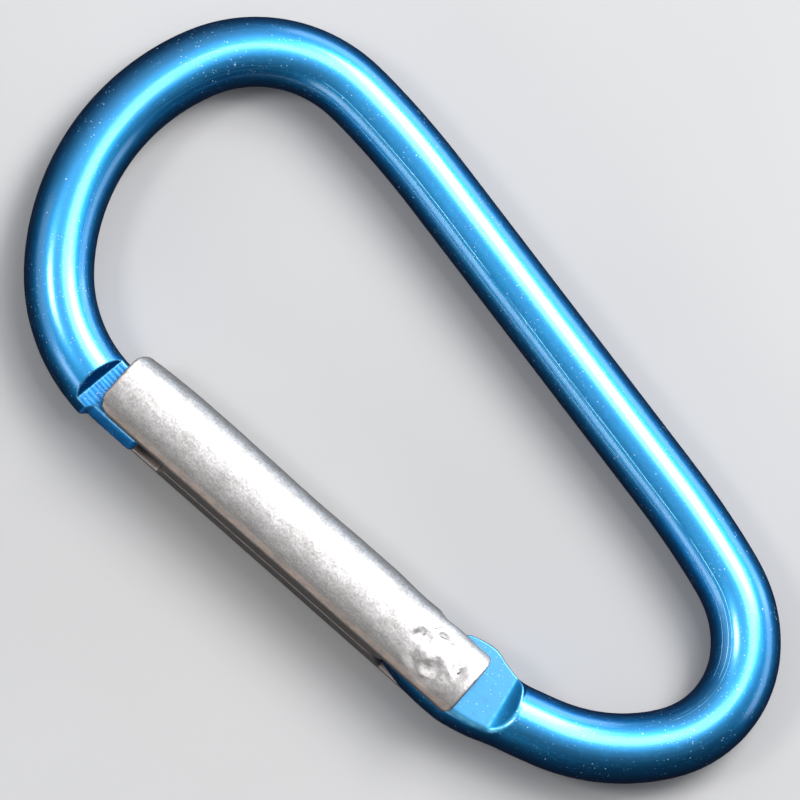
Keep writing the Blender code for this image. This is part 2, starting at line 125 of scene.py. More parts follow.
# Pressed tang, measured from its tip, as (distance, half width).
TANG_HALF_THICKNESS = 1.53
TANG_RAMP = (7.85, 8.95)
TANG_EDGE = 0.22
TANG_CORNERS = (0.4, 0.2)
TANG_OUTER = ((0.0, 2.6), (2.2, 2.97), (5.0, 3.03), (6.6, 2.75), (8.95, 2.32))
TANG_INNER = (
    (0.0, 1.36),
    (1.0, 1.36),
    (2.65, 2.1),
    (3.45, 2.68),
    (5.2, 3.06),
    (6.6, 2.72),
    (8.3, 2.32),
)
TIP_ROUNDING = 0.15
RAMP_POWER = 1.4
SHARP_LINE = 0.1  # half width of the painted highlight line where a flat ends
BORE_RADIUS = 1.08

# Gate sleeve
SHEET = 0.8
SLEEVE_ENDS = (-27.8, 2.95)
HALF_WIDTH = 2.6
CROWN_CENTRE = 0.2
CROWN_RISE = 2.6
CROWN_POWER = 2.4
EAR_POWER = 3.1  # the crown is squarer over the ears
EAR_PRESS = (-4.5, -1.5)  # where the one shape runs into the other
CAVITY_POWER = 4.0
UNDERSIDE = -2.52
FOLD_RADIUS = 0.42
WALL_BOW = 0.045
BOW_CENTRE = -0.9
SEAM_GAP = 0.2
CLOSED_SPAN = (-21.3, -3.9)  # where the wings meet in the seam
SLOT_ROUNDINGS = (0.6, 1.3)
EAR_SLOT_START = -1.75
EAR_SLOT_HALF_WIDTH = 1.78
EAR_SLOT_ROUNDING = 0.9
NOSE_CORNERS = (1.0, 1.5)  # low side, high side
EAR_CORNERS = (0.45, 1.1)
CORNER_FADE = 2.5
# Height of the crown's outside over the rod's plane, which the tumbling left uneven.
CROWN_LINE = (
    (-27.8, 2.62),
    (-26.5, 2.7),
    (-22.4, 2.85),
    (-12.4, 2.79),
    (-6.0, 2.86),
    (-2.9, 2.72),
    (0.0, 2.8),
    (2.95, 2.77),
)
SLEEVE_VOXEL = 0.085
SLEEVE_SMOOTHING = 5

# Spring seat tab, folded in across the cavity
SEAT_SPAN = (-21.0, -20.4)
SEAT_HALF_WIDTH = 1.35
SEAT_TOP = 1.35
SEAT_ROOT = (0.25, 1.3)  # the part of its lower edge that runs into the wing
SEAT_ROOT_DEPTH = 0.4
SEAT_CLEARANCE = 0.2  # over the other wing

# Pivot rivet
SHANK_RADIUS = 1.0
HOLE_RADIUS = 1.06
HEAD_RADIUS = 1.5
HEAD_DEPTH = 0.5
HEAD_OVERLAP = 0.35  # the peened rim is beaten out this far past its countersink
HEAD_DOME = 0.035
HEAD_LIP = 0.012  # height of the head near its rim over the ear
RIM_WIDTH = 0.6
RIM_DROP = 0.030  # the very rim is beaten this far down into the ear
RIVET_SIDES = 96

# Spring and push pin
SPRING_AXIS_Y = 0.15
WIRE_RADIUS = 0.2
COIL_RADIUS = 1.25
COIL_TURNS = 12
PIN_BACK = -3.55
PIN_HEAD_RADIUS = 1.6
PIN_HEAD_LENGTH = 0.8
PIN_STEM_RADIUS = 0.85
PIN_STEM_LENGTH = 5.0
PIN_SIDES = 72

# Long lines from the drawing die, as (offset towards the inner side, width)
SPINE_MIDDLE = 66.0  # distance from the nose
DIE_LINES = ((1.18, 0.032), (1.4, 0.04), (1.75, 0.02))

# Hammer marks round the rivet, as (x, y, radius, depth)
PEEN_MARKS = (
    (-0.35, 1.0, 0.85, 0.10),
    (-1.7, 0.3, 0.8, 0.08),
    (1.7, 0.2, 0.85, 0.09),
    (0.3, -0.8, 0.95, 0.12),
    (1.2, -0.7, 0.7, 0.06),
)
PEEN_REACH = 2.5
PEEN_LUMPS = 0.1
PEEN_LUMP_PITCH = 0.95
PEEN_DRIFT = 0.22  # how far the marks' outlines wander
BACK_MARKS_LIFT = 0.4  # the marks on the -Z ear are these ones turned over and lifted

# Unevenness from tumbling, as (depth, pitch, seed)
TUMBLING = ((0.016, 1.9, 3.0), (0.005, 0.55, 8.0))


# ---------------------------------------------------------------- small mathematics


def interpolate(points, x):
    """Smooth curve through a short list of (x, value) points, flat beyond its ends."""
    if x <= points[0][0]:
        return points[0][1]
    for i, ((x0, v0), (x1, v1)) in enumerate(zip(points, points[1:])):
        if x <= x1:
            t = (x - x0) / (x1 - x0)
            ease = t * t * (3 - 2 * t)
            bend = slope_at(points, i) * t * (1 - t) ** 2 - slope_at(points, i + 1) * t * t * (1 - t)
            return v0 + (v1 - v0) * ease + bend * (x1 - x0)
    return points[-1][1]


def slope_at(points, i):
    if i in (0, len(points) - 1):
        return 0.0
    return (points[i + 1][1] - points[i - 1][1]) / (points[i + 1][0] - points[i - 1][0])


def smooth_step(x, low, high):
    t = np.clip((np.asarray(x, float) - low) / (high - low), 0.0, 1.0)
    return t * t * (3 - 2 * t)


def corner_loss(distance, radius):
    """How far a round corner of this radius cuts back at this distance from the end."""
    if distance >= radius:
        return 0.0
    return radius - math.sqrt(max(radius**2 - (radius - distance) ** 2, 0.0))


def soft_min(a, b, width):
    """The lesser of two lengths with a round run between them, and how near the edge it is."""
    near = np.maximum(width - np.abs(a - b), 0.0) / width
    return np.minimum(a, b) - near * near * width / 4, near


# ---------------------------------------------------------------- mesh helpers


def mesh_object(name, points, faces):
    """An object in the gate frame from points in mm, smooth, with its faces pointing out."""
    mesh = bpy.data.meshes.new(name)
    mesh.from_pydata((np.asarray(points) * MM).tolist(), [], faces)
    mesh_data = bmesh.new()
    mesh_data.from_mesh(mesh)
    bmesh.ops.recalc_face_normals(mesh_data, faces=mesh_data.faces[:])
    mesh_data.to_mesh(mesh)
    mesh_data.free()
    mesh.shade_smooth()
    obj = bpy.data.objects.new(name, mesh)
    bpy.context.scene.collection.objects.link(obj)
    return obj


def bake_modifiers(obj):
    """Replaces the object's mesh with the one its modifiers make."""
    bpy.context.view_layer.update()
    graph = bpy.context.evaluated_depsgraph_get()
    mesh = bpy.data.meshes.new_from_object(obj.evaluated_get(graph))
    obj.modifiers.clear()
    obj.data = mesh
    mesh.shade_smooth()


def points_of(obj):
    """The object's vertices as an array in mm, in the gate frame."""
    flat = np.empty(len(obj.data.vertices) * 3, np.float32)
    obj.data.vertices.foreach_get("co", flat)
    return flat.reshape(-1, 3).astype(float) / MM


def set_points(obj, points):
    obj.data.vertices.foreach_set("co", (points * MM).astype(np.float32).ravel())
    obj.data.update()


def ring_faces(first, count, second):
    """Quads between two rings of equal count that start at these vertex numbers."""
    turns = [(i, (i + 1) % count) for i in range(count)]
    return [(first + i, first + j, second + j, second + i) for i, j in turns]


def revolve(profile, sides):
    """Points and faces of an (x, radius) profile turned round X, closed at both ends."""
    angles = 2 * math.pi * np.arange(sides) / sides
    circle = np.column_stack((np.zeros(sides), np.cos(angles), np.sin(angles)))
    rings = [circle * radius + np.array((x, 0.0, 0.0)) for x, radius in profile]
    faces = []
    for i in range(len(profile) - 1):
        faces += ring_faces(i * sides, sides, (i + 1) * sides)
    last = (len(profile) - 1) * sides
    faces.append(tuple(range(sides)))
    faces.append(tuple(range(last + sides - 1, last - 1, -1)))
    return np.vstack(rings), faces


def subtract(obj, cutter):
    modifier = obj.modifiers.new("cut", "BOOLEAN")
    modifier.operation = "DIFFERENCE"
    modifier.object = cutter
    modifier.solver = "EXACT"
    bake_modifiers(obj)
    bpy.data.objects.remove(cutter, do_unlink=True)


# ---------------------------------------------------------------- the rod's centre line


def piece_length(piece):
    return piece[1] if piece[0] == "line" else piece[1] * math.radians(piece[2])


PATH_LENGTH = sum(piece_length(piece) for piece in PATH)


def curvature_of(places):
    """Curvature of the drawn path at each of these distances from the nose."""
    curvature = np.zeros(len(places))
    start = 0.0
    for piece in PATH:
        end = start + piece_length(piece)
        if piece[0] == "bend":
            curvature[(places >= start) & (places < end)] = 1 / piece[1]
        start = end
    return curvature


def walk(curvature, step):
    """Positions and headings of a path with this curvature in each step."""
    heading = math.pi - np.concatenate(([0.0], np.cumsum(curvature * step)))
    middle = (heading[1:] + heading[:-1]) / 2
    x = NOSE_TIP[0] + np.concatenate(([0.0], np.cumsum(np.cos(middle) * step)))
    y = NOSE_TIP[1] + np.concatenate(([0.0], np.cumsum(np.sin(middle) * step)))
    return x, y, heading


def centre_line():
    """Even steps along the path; the bends run into each other, and both ends stay in place."""
    count = round(PATH_LENGTH / PATH_STEP)
    step = PATH_LENGTH / count
    curvature = curvature_of((np.arange(count) + 0.5) * step)
    half = round(BEND_BLEND / 2 / step)
    kernel = np.hanning(2 * half + 3)[1:-1]
    blended = np.convolve(np.pad(curvature, half, mode="edge"), kernel / kernel.sum(), "valid")
    blended *= math.radians(360) / (blended.sum() * step)
    x, y, heading = walk(blended, step)
    share = np.linspace(0.0, 1.0, count + 1)
    sharp_x, sharp_y, _ = walk(curvature, step)
    x += (sharp_x[-1] - x[-1]) * share
    y += (sharp_y[-1] - y[-1]) * share
    return share * PATH_LENGTH, x, y, heading


# ---------------------------------------------------------------- the rod


def nose_section(distance, cosine):
    """Half width, height of the ellipse and half thickness at a distance from the nose's tip."""
    is_neck = smooth_step(distance, TONGUE_LENGTH, TONGUE_LENGTH + TONGUE_STEP)
    outer, inner = TONGUE_HALF_WIDTHS
    outer -= corner_loss(distance, TONGUE_CORNERS[0])
    inner -= corner_loss(distance, TONGUE_CORNERS[1])
    width = np.where(cosine >= 0, inner, outer)
    width = width + (ROD_RADIUS - width) * is_neck
    rounding = TONGUE_ROUNDING + (ROD_RADIUS - TONGUE_ROUNDING) * is_neck
    share = max((distance - NOSE_RAMP[0]) / (NOSE_RAMP[1] - NOSE_RAMP[0]), 0.0)
    half = NOSE_HALF_THICKNESS + (ROD_RADIUS - NOSE_HALF_THICKNESS) * share**RAMP_POWER
    half -= corner_loss(distance, TIP_ROUNDING)
    return width, rounding, half


def tang_section(distance, cosine):
    """The same at a distance from the tang's tip."""
    share = max((distance - TANG_RAMP[0]) / (TANG_RAMP[1] - TANG_RAMP[0]), 0.0)
    half = TANG_HALF_THICKNESS + (ROD_RADIUS - TANG_HALF_THICKNESS) * share**RAMP_POWER
    half -= corner_loss(distance, TIP_ROUNDING)
    outer = interpolate(TANG_OUTER, distance) - corner_loss(distance, TANG_CORNERS[0])
    inner = interpolate(TANG_INNER, distance) - corner_loss(distance, TANG_CORNERS[1])
    is_inner = cosine >= 0
    rounding = np.where(is_inner, ROD_RADIUS * (2 - min(share, 1.0)), ROD_RADIUS)
    return np.where(is_inner, inner, outer), rounding, half


def milling_marks(distance, offset, flat):
    """Depth of the cutter's ribs on the nose's flats, and of the coarser ones on its side."""
    along_rod = 0.5 + 0.5 * np.cos(2 * math.pi * offset / RIB_PITCH + 1.1 * np.sin(3.1 * offset))
    fade = 1.0 - float(smooth_step(distance, NOSE_RAMP[0] - 0.1, NOSE_RAMP[0] + 0.15))
    ribs = RIB_DEPTH * along_rod * flat * fade
    across = 0.5 + 0.5 * math.cos(2 * math.pi * distance / SIDE_RIB_PITCH)
    side_fade = 1.0 - float(smooth_step(distance, TONGUE_LENGTH - 0.2, TONGUE_LENGTH))
    return ribs, SIDE_RIB_DEPTH * across * (1 - flat) * side_fade


def rod_section(distance, cosine, sine):
    """Offset towards the inner side, height, nearness to a worked edge and flatness, for one ring."""
    from_tang = PATH_LENGTH - distance
    edge_width = MILLED_EDGE
    if distance < NOSE_FINE:
        width, rounding, half = nose_section(distance, cosine)
    elif from_tang < TANG_FINE:
        width, rounding, half = tang_section(from_tang, cosine)
        edge_width = TANG_EDGE
    else:
        none = np.zeros(len(cosine))
        return ROD_RADIUS * cosine, ROD_RADIUS * sine, none, none
    height, near = soft_min(np.abs(sine) * rounding, half, edge_width)
    near = near * (np.abs(sine) * rounding > 0.4)
    offset = cosine * width
    flat = smooth_step(np.abs(sine) * rounding - half, 0.0, MILLED_EDGE)
    from_line = min(abs(distance - NOSE_RAMP[0]), abs(from_tang - TANG_RAMP[0]))
    # where a flat ends, the edge mask also carries a painted highlight line
    near = np.maximum(near, flat * max(1 - from_line / SHARP_LINE, 0.0))
    if distance < NOSE_FINE:
        ribs, side_ribs = milling_marks(distance, offset, flat)
        height = height - ribs
        offset = offset - np.sign(cosine) * side_ribs
    return offset, np.sign(sine) * height, near, flat


def ring_stations():
    """Distances of the rings from the nose, and how many points each ring has."""
    nose = np.arange(0.0, NOSE_FINE, RING_STEPS["nose"])
    tang_start = PATH_LENGTH - TANG_FINE
    count = round((tang_start - NOSE_FINE) / RING_STEPS["bar"])
    bar = np.linspace(NOSE_FINE, tang_start, count, endpoint=False)
    tang = np.linspace(tang_start, PATH_LENGTH, round(TANG_FINE / RING_STEPS["tang"]) + 1)
    fine = [(distance, ROD_SIDES * NOSE_DETAIL) for distance in nose]
    return fine + [(distance, ROD_SIDES) for distance in np.concatenate((bar, tang))]


def bridge(first, first_count, second, second_count):
    """Faces between two rings; the first may have a whole number of times as many points."""
    if first_count == second_count:
        return ring_faces(first, first_count, second)
    times = first_count // second_count
    faces = []
    for i in range(second_count):
        fine = [first + (i * times + k) % first_count for k in range(times + 1)]
        faces.append((*fine, second + (i + 1) % second_count, second + i))
    return faces


def make_rod():
    """The bar swept along its centre line, with its straightened coordinates kept on it."""
    places, path_x, path_y, path_heading = centre_line()
    points, straight, worked, flats, faces = [], [], [], [], []
    start, previous = 0, None
    for distance, count in ring_stations():
        angle = 2 * math.pi * np.arange(count) / count
        offset, height, near, flat = rod_section(distance, np.cos(angle), np.sin(angle))
        heading = np.interp(distance, places, path_heading)
        x = np.interp(distance, places, path_x) + math.sin(heading) * offset
        y = np.interp(distance, places, path_y) - math.cos(heading) * offset
        points.append(np.column_stack((x, y, height)))
        straight.append(np.column_stack((np.full(count, distance), offset, height)))
        worked.append(near)
        flats.append(flat)
        if previous:
            faces += bridge(*previous, start, count)
        previous = (start, count)
        start += count
    faces.append(tuple(range(ROD_SIDES * NOSE_DETAIL)))
    faces.append(tuple(range(start - 1, start - 1 - ROD_SIDES, -1)))
    rod = mesh_object("rod", np.vstack(points), faces)
    add_attribute(rod, "straight", "FLOAT_VECTOR", "vector", np.vstack(straight))
    add_attribute(rod, "worked_edge", "FLOAT", "value", np.concatenate(worked))
    add_attribute(rod, "worked_flat", "FLOAT", "value", np.concatenate(flats))
    past = ROD_RADIUS + 1
    bore, bore_faces = revolve([(-past, BORE_RADIUS), (past, BORE_RADIUS)], RIVET_SIDES)
    cutter = mesh_object("bore_cutter", stand_up(bore), bore_faces)
    subtract(rod, cutter)
    return rod


def add_attribute(obj, name, kind, field, values):
    attribute = obj.data.attributes.new(name, kind, "POINT")
    attribute.data.foreach_set(field, np.asarray(values, np.float32).ravel())


def stand_up(points):
    """Turns points revolved round X so that they stand along Z, the pivot's axis."""
    return points[:, [1, 2, 0]]


# ---------------------------------------------------------------- the gate sleeve


def arch(half_width, rise, power, slot):
    """Half the crown from its top, or from the ear slot's wall, to its side, as (y, z)."""
    start = math.asin(min((slot / half_width) ** (power / 2), 1.0))
    angles = np.linspace(start, math.pi / 2, 41)
    across = half_width * np.sin(angles) ** (2 / power)
    up = rise * np.maximum(np.cos(angles), 0.0) ** (2 / power)
    return list(zip(CROWN_CENTRE + up, across))


def bowed(y, width):
    """Narrows the sheet's outside a little on both sides of the middle of the wall."""
    return width * (1 - WALL_BOW * (np.minimum(y, CROWN_CENTRE + 1) - BOW_CENTRE) ** 2 / HALF_WIDTH)


def wing_reach(x):
    """How near the wing comes to the seam; the slots at both ends have rounded ends."""
    seam = SEAM_GAP / 2
    none = HALF_WIDTH - SHEET
    past = max((CLOSED_SPAN[0] - x) / SLOT_ROUNDINGS[0], (x - CLOSED_SPAN[1]) / SLOT_ROUNDINGS[1])
    if past <= 0:
        return seam
    if past >= 1:
        return none
    return seam + (none - seam) * (1 - math.sqrt(1 - past**2))


def ear_slot(x):
    """Half width of the slot that parts the crown into two ears; 0 where there is none."""
    share = min(max((x - EAR_SLOT_START) / EAR_SLOT_ROUNDING, 0.0), 1.0)
    return EAR_SLOT_HALF_WIDTH * (1 - (1 - share) ** 4) ** 0.25


def half_section(x):
    """Outer and inner points of half the folded sheet, from the crown to the free edge."""
    narrow = HALF_WIDTH - SHEET
    press = min(max((x - EAR_PRESS[0]) / (EAR_PRESS[1] - EAR_PRESS[0]), 0.0), 1.0)
    power = CROWN_POWER + (EAR_POWER - CROWN_POWER) * press
    rise = interpolate(CROWN_LINE, x) - CROWN_CENTRE
    reach = wing_reach(x)
    outer = arch(HALF_WIDTH, rise, power, ear_slot(x))
    outer += [(y, HALF_WIDTH) for y in np.linspace(0.0, UNDERSIDE + FOLD_RADIUS, 12)]
    outer = [(y, bowed(y, z)) for y, z in outer]
    fold_end = outer[-1][1] - FOLD_RADIUS
    for turn in np.radians(np.arange(10, 91, 10)):
        y = UNDERSIDE + FOLD_RADIUS * (1 - math.sin(turn))
        outer.append((y, fold_end + FOLD_RADIUS * math.cos(turn)))
    outer += [(UNDERSIDE, z) for z in np.linspace(fold_end, min(reach, fold_end - 0.02), 5)[1:]]
    floor = UNDERSIDE + SHEET
    inner = arch(narrow, CROWN_RISE - SHEET, CAVITY_POWER, ear_slot(x))
    inner += [(y, narrow) for y in np.linspace(-0.3, floor + 0.05, len(outer) - len(inner) - 4)]
    lift = 0.04 if reach >= narrow else 0.0
    inner += [(floor + lift * (3 - i) / 3, z) for i, z in enumerate(np.linspace(narrow, reach, 4))]
    return outer, inner


def end_pull(y, low_radius, high_radius):
    """How far a round corner pulls the sheet's end back at this height."""
    high = CROWN_CENTRE + CROWN_RISE
    return corner_loss(max(y - UNDERSIDE, 0), low_radius) + corner_loss(max(high - y, 0), high_radius)


def sleeve_point(x, y, z):
    """Places a point of the section, with the rounded corners of both ends."""
    from_nose = (x - SLEEVE_ENDS[0]) / CORNER_FADE
    from_ears = (SLEEVE_ENDS[1] - x) / CORNER_FADE
    if from_nose < 1:
        x += end_pull(y, *NOSE_CORNERS) * (1 - from_nose)
    if from_ears < 1:
        x -= end_pull(y, *EAR_CORNERS) * (1 - from_ears)
    return x, y, z


def sleeve_stations():
    """X of the sheet's rows, closer together where a slot's end is round."""
    first, last = SLEEVE_ENDS
    stations = set(np.round(np.linspace(first, last, 90), 5))
    rounding = np.sin(np.radians(np.arange(0, 91, 6)))
    for place in rounding:
        stations.add(CLOSED_SPAN[0] - SLOT_ROUNDINGS[0] * place)
        stations.add(CLOSED_SPAN[1] + SLOT_ROUNDINGS[1] * place)
        stations.add(EAR_SLOT_START + EAR_SLOT_ROUNDING * (1 - math.sqrt(1 - place**2)))
    return sorted(stations)


def sleeve_side(mesh_data, sign):
    """Half of the folded sheet, on the side of +Z or -Z, as one skin open at the crown."""
    rows = []
    for x in sleeve_stations():
        outer, inner = half_section(x)
        outer_row = [mesh_data.verts.new(sleeve_point(x, y, sign * z)) for y, z in outer]
        inner_row = [mesh_data.verts.new(sleeve_point(x, y, sign * z)) for y, z in inner]
        rows.append((outer_row, inner_row, ear_slot(x)))
    for (outer_a, inner_a, slot_a), (outer_b, inner_b, slot_b) in zip(rows, rows[1:]):
        for i in range(len(outer_a) - 1):
            mesh_data.faces.new((outer_a[i], outer_b[i], outer_b[i + 1], outer_a[i + 1]))
            mesh_data.faces.new((inner_a[i], inner_a[i + 1], inner_b[i + 1], inner_b[i]))
        mesh_data.faces.new((outer_a[-1], outer_b[-1], inner_b[-1], inner_a[-1]))
        if slot_a or slot_b:
            mesh_data.faces.new((outer_a[0], inner_a[0], inner_b[0], outer_b[0]))
    for outer_row, inner_row, _ in (rows[0], rows[-1]):
        for i in range(len(outer_row) - 1):
            mesh_data.faces.new((outer_row[i], outer_row[i + 1], inner_row[i + 1], inner_row[i]))


def seat_tab(mesh_data):
    """The tab that the spring stands on, rooted in one wing of the sheet."""
    inside = UNDERSIDE + SHEET
    outline = (
        (inside - SEAT_ROOT_DEPTH, SEAT_ROOT[0]),
        (inside - SEAT_ROOT_DEPTH, SEAT_ROOT[1]),
        (SEAT_TOP, SEAT_HALF_WIDTH),
        (SEAT_TOP, -SEAT_HALF_WIDTH),
        (inside + SEAT_CLEARANCE, -SEAT_HALF_WIDTH),
        (inside + SEAT_CLEARANCE, SEAT_ROOT[0]),
    )
    rows = [[mesh_data.verts.new((x, y, z)) for y, z in outline] for x in SEAT_SPAN]
    for i in range(len(outline)):
        j = (i + 1) % len(outline)
        mesh_data.faces.new((rows[0][i], rows[0][j], rows[1][j], rows[1][i]))
    mesh_data.faces.new(rows[0])
    mesh_data.faces.new(rows[1][::-1])


def bumps(points, pitch, seed):
    """Smooth random heights between -1 and 1, with bumps about this far apart."""
    shift = Vector((seed, 2.3 * seed, -1.7 * seed))
    return np.array([noise.noise(Vector(point) / pitch + shift) for point in points])


def peen_depth(x, y):
    """Depth of the hammer marks at these places on the face of an ear."""
    flat = np.column_stack((x, y, np.zeros(len(x))))
    x = x + PEEN_DRIFT * bumps(flat, 0.8, 11.0)
    y = y + PEEN_DRIFT * bumps(flat, 0.8, 17.0)
    depth = np.zeros(len(x))
    for mark_x, mark_y, radius, deep in PEEN_MARKS:
        away = ((x - mark_x) ** 2 + (y - mark_y) ** 2) / radius**2
        depth = np.maximum(depth, deep * np.clip(1 - away, 0.0, 1.0) ** 2)
    near = smooth_step(-np.hypot(x, y), -PEEN_REACH, -0.7 * PEEN_REACH)
    return depth + PEEN_LUMPS * near * (0.5 + 0.5 * bumps(flat, PEEN_LUMP_PITCH, 23.0))


def tumbled_depth(points):
    """Depth of the slight unevenness that tumbling leaves all over."""
    return sum(depth * bumps(points, pitch, seed) for depth, pitch, seed in TUMBLING)


def wear_sleeve(points):
    """Uneven faces from tumbling, and the hammer marks on both ears."""
    x, y, z = points.T
    is_outside = smooth_step(np.abs(z), HALF_WIDTH - 0.35, HALF_WIDTH - 0.1)
    is_outside = np.maximum(is_outside, smooth_step(y, CROWN_RISE - 0.45, CROWN_RISE - 0.1))
    depth = tumbled_depth(points)
    outward = np.column_stack((np.zeros(len(x)), y - CROWN_CENTRE, z))
    outward[:, 1] = np.maximum(outward[:, 1], 0.0)
    outward /= np.maximum(np.linalg.norm(outward, axis=1), 1e-6)[:, None]
    points = points - outward * (depth * is_outside)[:, None]
    is_face = smooth_step(np.abs(z), HALF_WIDTH - 0.3, HALF_WIDTH - 0.1)
    side = np.sign(z)
    points[:, 2] -= side * peen_depth(side * x, y) * is_face * (side > 0)
    points[:, 2] -= side * peen_depth(x, BACK_MARKS_LIFT - y) * is_face * (side < 0)
    return points


def make_sleeve():
    mesh_data = bmesh.new()
    sleeve_side(mesh_data, 1)
    sleeve_side(mesh_data, -1)
    bmesh.ops.remove_doubles(mesh_data, verts=mesh_data.verts[:], dist=0.0001)
    sheet = mesh_object("sleeve", *arrays_of(mesh_data))
    high = HALF_WIDTH + 0.5
    foot = HALF_WIDTH - HEAD_DEPTH
    wide = HOLE_RADIUS + (HEAD_RADIUS - HOLE_RADIUS) / HEAD_DEPTH * (high - foot)
    profile = [(-high, wide), (-foot, HOLE_RADIUS), (foot, HOLE_RADIUS), (high, wide)]
    cutter, cutter_faces = revolve(profile, RIVET_SIDES)
    subtract(sheet, mesh_object("rivet_hole_cutter", stand_up(cutter), cutter_faces))
    tab_data = bmesh.new()
    seat_tab(tab_data)
    tab = mesh_object("seat_tab", *arrays_of(tab_data))
    union = sheet.modifiers.new("tab", "BOOLEAN")
    union.operation = "UNION"
    union.object = tab
    union.solver = "EXACT"
    remesh = sheet.modifiers.new("even", "REMESH")
    remesh.mode = "VOXEL"
    remesh.voxel_size = SLEEVE_VOXEL * MM
    relax = sheet.modifiers.new("relax", "SMOOTH")
    relax.factor = 0.5
    relax.iterations = SLEEVE_SMOOTHING
    bake_modifiers(sheet)
    bpy.data.objects.remove(tab, do_unlink=True)
    set_points(sheet, wear_sleeve(points_of(sheet)))
    return sheet


def arrays_of(mesh_data):
    """Points and faces of a bmesh in mm, which is then freed."""
    mesh_data.verts.index_update()
    points = np.array([vert.co[:] for vert in mesh_data.verts])
    faces = [tuple(vert.index for vert in face.verts) for face in mesh_data.faces]
    mesh_data.free()
    return points, faces


# ---------------------------------------------------------------- rivet, spring and pin


def make_rivet():
    """A shank with a head at each end, peened into the ear and a little over its rim."""
    spread = HEAD_RADIUS + HEAD_OVERLAP
    foot = HALF_WIDTH - HEAD_DEPTH
    half = [(foot, SHANK_RADIUS), (HALF_WIDTH - 0.1, HEAD_RADIUS - 0.08)]
    for share in np.linspace(1.0, 0.02, 34):
        edge = max(1 - (1 - share) * spread / RIM_WIDTH, 0.0)
        rise = HEAD_DOME + (HEAD_LIP - HEAD_DOME) * share**2 - RIM_DROP * edge**2
        half.append((HALF_WIDTH + rise, spread * share))
    profile = [(-x, radius) for x, radius in reversed(half)] + half
    points, faces = revolve(profile, RIVET_SIDES)
    points = stand_up(points)
    x, y, z = points.T
    angle = np.arctan2(y, x)
    radius = np.hypot(x, y)
    spread_more = 1 + 0.05 * np.sin(3 * angle + 0.7) + 0.03 * np.sin(7 * angle)
    is_rim = smooth_step(radius, HEAD_RADIUS - 0.3, HEAD_RADIUS)
    points[:, :2] *= (1 + (spread_more - 1) * is_rim)[:, None]
    side = np.sign(z)
    is_face = smooth_step(np.abs(z), HALF_WIDTH - 0.12, HALF_WIDTH - 0.02)
    x, y = points[:, 0], points[:, 1]
    marks = np.where(side > 0, peen_depth(x, y), peen_depth(x, BACK_MARKS_LIFT - y))
    is_head = smooth_step(np.abs(z), foot, HALF_WIDTH - 0.1)
    points[:, 2] -= side * is_head * (HALF_WIDTH - bowed(y, HALF_WIDTH))
    points[:, 2] -= side * is_face * (marks + tumbled_depth(points))
    return mesh_object("rivet", points, faces)


def make_spring(start, end):
    """A coil of round wire with its end turns wound close."""
    steps, sides = 40, 14
    total = COIL_TURNS * steps
    closed = 2.3 * WIRE_RADIUS
    first = start + WIRE_RADIUS
    open_length = end - WIRE_RADIUS - first - 2 * closed
    around = 2 * math.pi * np.arange(sides) / sides
    points, faces = [], []
    for i in range(total + 1):
        turn = i / steps
        open_share = min(max((turn - 1) / (COIL_TURNS - 2), 0), 1)
        closed_turns = min(turn, 1) + max(turn - COIL_TURNS + 1, 0)
        x = first + closed * closed_turns + open_length * open_share
        radius = COIL_RADIUS + WIRE_RADIUS * np.cos(around)
        angle = 2 * math.pi * turn
        y = SPRING_AXIS_Y + radius * math.cos(angle)
        z = radius * math.sin(angle)
        points.append(np.column_stack((x + WIRE_RADIUS * np.sin(around), y, z)))
        if i:
            faces += ring_faces((i - 1) * sides, sides, i * sides)
    faces.append(tuple(range(sides)))
    faces.append(tuple(range((total + 1) * sides - 1, total * sides - 1, -1)))
    return mesh_object("spring", np.vstack(points), faces)


def rounded_corner(x, radius, bevel, towards):
    """Points of a small round between a turned end face at x and the side behind it."""
    points = []
    for turn in np.radians(np.arange(90, -1, -18)):
        along = x + towards * bevel * (1 - math.sin(turn))
        points.append((along, radius - bevel * (1 - math.cos(turn))))
    return points


def make_pin():
    """A turned pin: its head bears on the tang and its stem guides the spring."""
    front = PIN_BACK + PIN_HEAD_LENGTH
    stem_end = PIN_BACK - PIN_STEM_LENGTH
    profile = [(stem_end, 0.05)]
    profile += rounded_corner(stem_end, PIN_STEM_RADIUS, 0.2, 1)
    profile += [(PIN_BACK - 0.1, PIN_STEM_RADIUS), (PIN_BACK, PIN_STEM_RADIUS + 0.1)]
    profile += rounded_corner(PIN_BACK, PIN_HEAD_RADIUS, 0.08, 1)
    profile += rounded_corner(front, PIN_HEAD_RADIUS, 0.12, -1)[::-1]
    profile += [(front, 0.05)]
    points, faces = revolve(profile, PIN_SIDES)
    points[:, 1] += SPRING_AXIS_Y
    return mesh_object("pin", points, faces)


# ---------------------------------------------------------------- materials


def put(tree, socket, value):
    if isinstance(value, bpy.types.NodeSocket):
        tree.links.new(value, socket)
    else:
        socket.default_value = value


def add(tree, kind, inputs, **settings):
    """Adds a node; its inputs are given by name or number, as values or other sockets."""
    made = tree.nodes.new(kind)
    for name, value in settings.items():
        setattr(made, name, value)
    for name, value in inputs.items():
        put(tree, made.inputs[name], value)
    return made


def maths(tree, operation, *values):
    inputs = dict(enumerate(values))
    return add(tree, "ShaderNodeMath", inputs, operation=operation).outputs[0]


def scaled(tree, vector, scale):
    inputs = {0: vector, 1: scale}
    return add(tree, "ShaderNodeVectorMath", inputs, operation="MULTIPLY").outputs[0]


def grain(tree, vector, per_mm, detail=3.0, roughness=0.5):
    inputs = {"Vector": vector, "Scale": per_mm, "Detail": detail, "Roughness": roughness}
    return add(tree, "ShaderNodeTexNoise", inputs).outputs["Fac"]


def ranged(tree, value, low, high, to_low, to_high):
    inputs = {"Value": value, "From Min": low, "From Max": high, "To Min": to_low, "To Max": to_high}
    return add(tree, "ShaderNodeMapRange", inputs, clamp=True).outputs[0]


